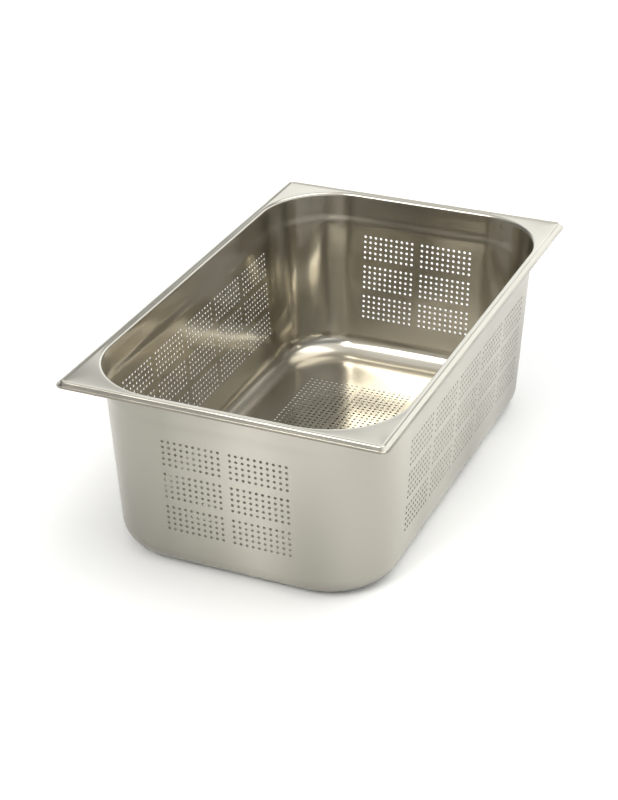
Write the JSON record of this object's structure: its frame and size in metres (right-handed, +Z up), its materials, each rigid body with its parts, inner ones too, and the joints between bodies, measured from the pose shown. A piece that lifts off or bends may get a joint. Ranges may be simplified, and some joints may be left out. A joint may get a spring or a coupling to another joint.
{
  "type": "perforated gastronorm pan",
  "caption": "Deep rectangular stainless steel pan with rounded corners, a flat hanging rim, and perforated walls and base for draining curd or food.",
  "frame": {"origin": "centre of the base underside, on the surface it stands on", "axes": "+Y along the length towards the back end wall, +X across the width towards the right side wall, +Z up through the open top"},
  "size_m": [0.325, 0.53, 0.19],
  "materials": {
    "stainless_sheet": "satin outside, bright inside"
  },
  "bodies": {
    "root": {"drain_base": "stainless_sheet", "end_wall_front": "stainless_sheet", "end_wall_back": "stainless_sheet", "side_wall_left": "stainless_sheet", "side_wall_right": "stainless_sheet", "base_radius_front": "stainless_sheet", "base_radius_back": "stainless_sheet", "base_radius_left": "stainless_sheet", "base_radius_right": "stainless_sheet", "base_corner_back_left": "stainless_sheet", "base_corner_back_right": "stainless_sheet", "base_corner_front_left": "stainless_sheet", "base_corner_front_right": "stainless_sheet", "corner_wall_back_left": "stainless_sheet", "corner_wall_back_right": "stainless_sheet", "corner_wall_front_left": "stainless_sheet", "corner_wall_front_right": "stainless_sheet", "stacking_neck_front": "stainless_sheet", "stacking_neck_back": "stainless_sheet", "stacking_neck_left": "stainless_sheet", "stacking_neck_right": "stainless_sheet", "neck_corner_back_left": "stainless_sheet", "neck_corner_back_right": "stainless_sheet", "neck_corner_front_left": "stainless_sheet", "neck_corner_front_right": "stainless_sheet", "rim_front": "stainless_sheet", "rim_back": "stainless_sheet", "rim_left": "stainless_sheet", "rim_right": "stainless_sheet", "rim_corner_back_left": "stainless_sheet", "rim_corner_back_right": "stainless_sheet", "rim_corner_front_left": "stainless_sheet", "rim_corner_front_right": "stainless_sheet"}
  },
  "joints": []
}
